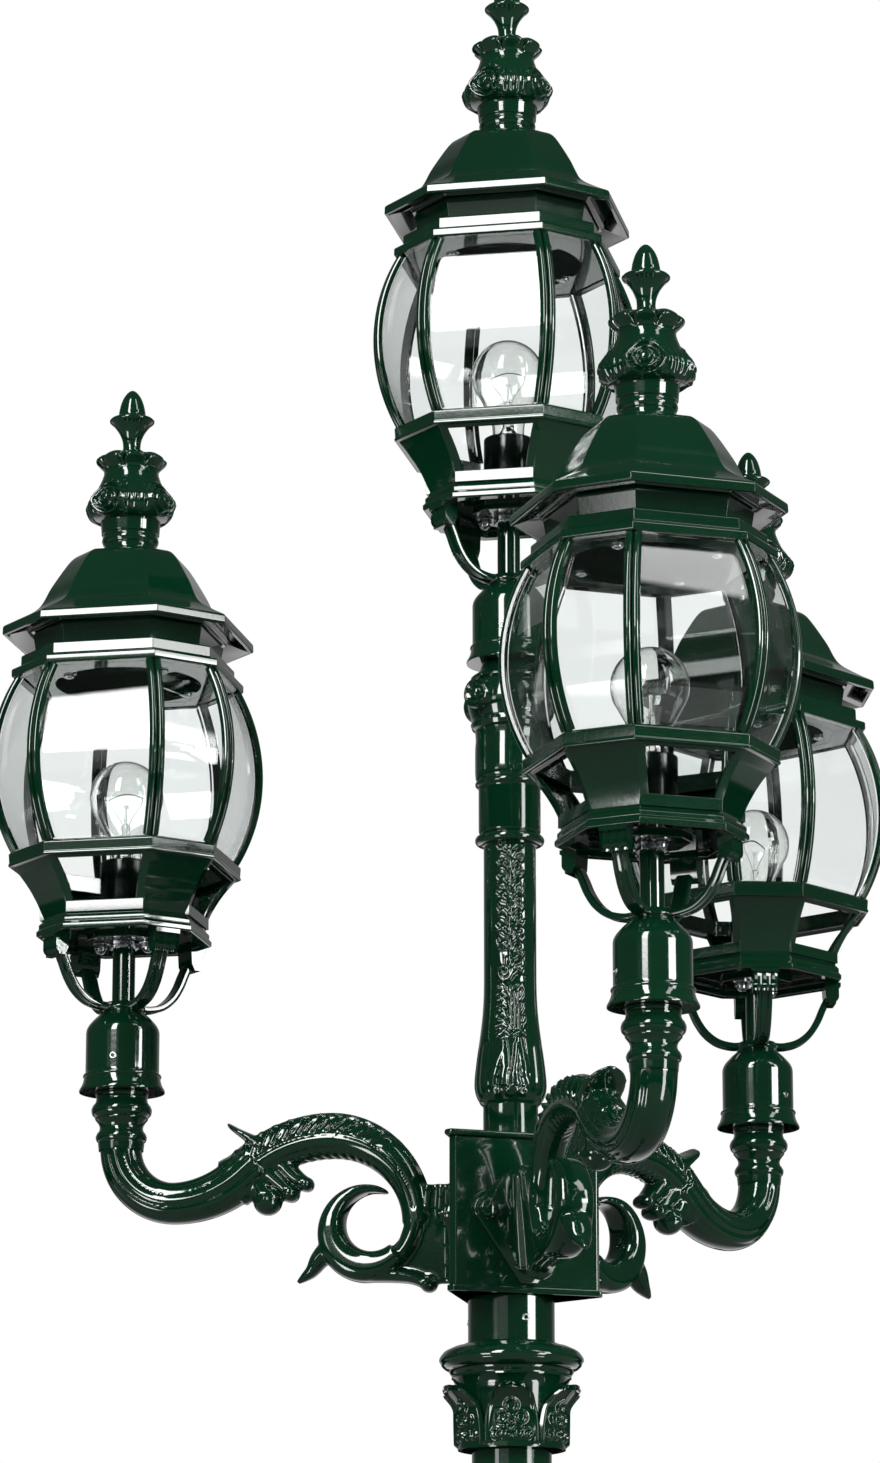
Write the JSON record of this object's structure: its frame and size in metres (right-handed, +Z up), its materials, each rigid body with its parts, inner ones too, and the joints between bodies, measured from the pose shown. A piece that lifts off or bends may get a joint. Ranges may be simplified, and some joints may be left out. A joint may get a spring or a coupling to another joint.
{
  "type": "garden lamp post",
  "caption": "Cast garden lamp post with glazed eight-sided lanterns on scroll arms round a triangular hub and one on top of the column; lanterns turn, roofs lift off and bulbs unscrew.",
  "frame": {"origin": "on the ground in the middle of the foot, on the post's axis", "axes": "+Z up the post, -X along the left arm; the front arm is 120 degrees on towards -Y"},
  "size_m": [0.7029, 0.788, 2.703],
  "materials": {
    "green_casting": "cast aluminium, gloss dark green powder coat",
    "green_iron": "cast iron, gloss dark green powder coat",
    "green_steel": "steel, gloss dark green paint",
    "pane_glass": "clear bent glass",
    "bulb_glass": "clear blown glass",
    "bulb_cap_metal": "rolled aluminium screw cap",
    "holder_plastic": "dark thermoset with gloss green sleeve",
    "terminal_plastic": "moulded polyamide",
    "bright_steel": "bright stainless steel"
  },
  "bodies": {
    "post": {"base_pedestal": "green_iron", "post_tube": "green_steel", "lower_sleeve": "green_casting", "shaft_ring": "green_casting", "capital": "green_casting", "hub_body": "green_casting", "hub_lid": "green_casting", "terminal_block": "terminal_plastic", "socket_screws": "bright_steel", "left_arm": "green_casting", "front_arm": "green_casting", "back_arm": "green_casting", "arm_bolts": "green_steel", "column": "green_casting", "column_tube": "bright_steel", "top_spigot": "green_casting"},
    "left_lantern": {"left_bracket": "green_casting", "left_conduit": "green_steel", "left_gallery": "green_casting", "left_cage": "green_casting", "left_glass": "pane_glass", "left_lampholder": "holder_plastic", "left_hardware": "bright_steel"},
    "left_lantern_roof": {"left_roof": "green_casting", "left_finial": "green_casting"},
    "left_lamp": {"left_bulb_cap": "bulb_cap_metal", "left_bulb_glass": "bulb_glass"},
    "front_lantern": {"front_bracket": "green_casting", "front_conduit": "green_steel", "front_gallery": "green_casting", "front_cage": "green_casting", "front_glass": "pane_glass", "front_lampholder": "holder_plastic", "front_hardware": "bright_steel"},
    "front_lantern_roof": {"front_roof": "green_casting", "front_finial": "green_casting"},
    "front_lamp": {"front_bulb_cap": "bulb_cap_metal", "front_bulb_glass": "bulb_glass"},
    "back_lantern": {"back_bracket": "green_casting", "back_conduit": "green_steel", "back_gallery": "green_casting", "back_cage": "green_casting", "back_glass": "pane_glass", "back_lampholder": "holder_plastic", "back_hardware": "bright_steel"},
    "back_lantern_roof": {"back_roof": "green_casting", "back_finial": "green_casting"},
    "back_lamp": {"back_bulb_cap": "bulb_cap_metal", "back_bulb_glass": "bulb_glass"},
    "top_lantern": {"top_bracket": "green_casting", "top_conduit": "green_steel", "top_gallery": "green_casting", "top_cage": "green_casting", "top_glass": "pane_glass", "top_lampholder": "holder_plastic", "top_hardware": "bright_steel"},
    "top_lantern_roof": {"top_roof": "green_casting", "top_finial": "green_casting"},
    "top_lamp": {"top_bulb_cap": "bulb_cap_metal", "top_bulb_glass": "bulb_glass"}
  },
  "joints": [
    {"name": "left_swivel", "type": "hinge", "parent": "post", "child": "left_lantern", "pos_m": [-0.322, 0, 1.76], "axis": [0, 0, 1], "range_deg": [-180, 180]},
    {"name": "left_roof_lift", "type": "slide", "parent": "left_lantern", "child": "left_lantern_roof", "axis": [0, 0, 1], "range_m": [0, 0.2]},
    {"name": "left_bulb_turn", "type": "hinge", "parent": "left_lantern", "child": "left_lamp", "pos_m": [-0.322, 0, 1.76], "axis": [0, 0, 1], "range_deg": [0, 900]},
    {"name": "front_swivel", "type": "hinge", "parent": "post", "child": "front_lantern", "pos_m": [0.161, -0.27886, 1.76], "axis": [0, 0, 1], "range_deg": [-180, 180]},
    {"name": "front_roof_lift", "type": "slide", "parent": "front_lantern", "child": "front_lantern_roof", "axis": [0, 0, 1], "range_m": [0, 0.2]},
    {"name": "front_bulb_turn", "type": "hinge", "parent": "front_lantern", "child": "front_lamp", "pos_m": [0.161, -0.27886, 1.76], "axis": [0, 0, 1], "range_deg": [0, 900]},
    {"name": "back_swivel", "type": "hinge", "parent": "post", "child": "back_lantern", "pos_m": [0.161, 0.27886, 1.76], "axis": [0, 0, 1], "range_deg": [-180, 180]},
    {"name": "back_roof_lift", "type": "slide", "parent": "back_lantern", "child": "back_lantern_roof", "axis": [0, 0, 1], "range_m": [0, 0.2]},
    {"name": "back_bulb_turn", "type": "hinge", "parent": "back_lantern", "child": "back_lamp", "pos_m": [0.161, 0.27886, 1.76], "axis": [0, 0, 1], "range_deg": [0, 900]},
    {"name": "top_swivel", "type": "hinge", "parent": "post", "child": "top_lantern", "pos_m": [0, 0, 2.104], "axis": [0, 0, 1], "range_deg": [-180, 180]},
    {"name": "top_roof_lift", "type": "slide", "parent": "top_lantern", "child": "top_lantern_roof", "axis": [0, 0, 1], "range_m": [0, 0.2]},
    {"name": "top_bulb_turn", "type": "hinge", "parent": "top_lantern", "child": "top_lamp", "pos_m": [0, 0, 2.104], "axis": [0, 0, 1], "range_deg": [0, 900]}
  ]
}
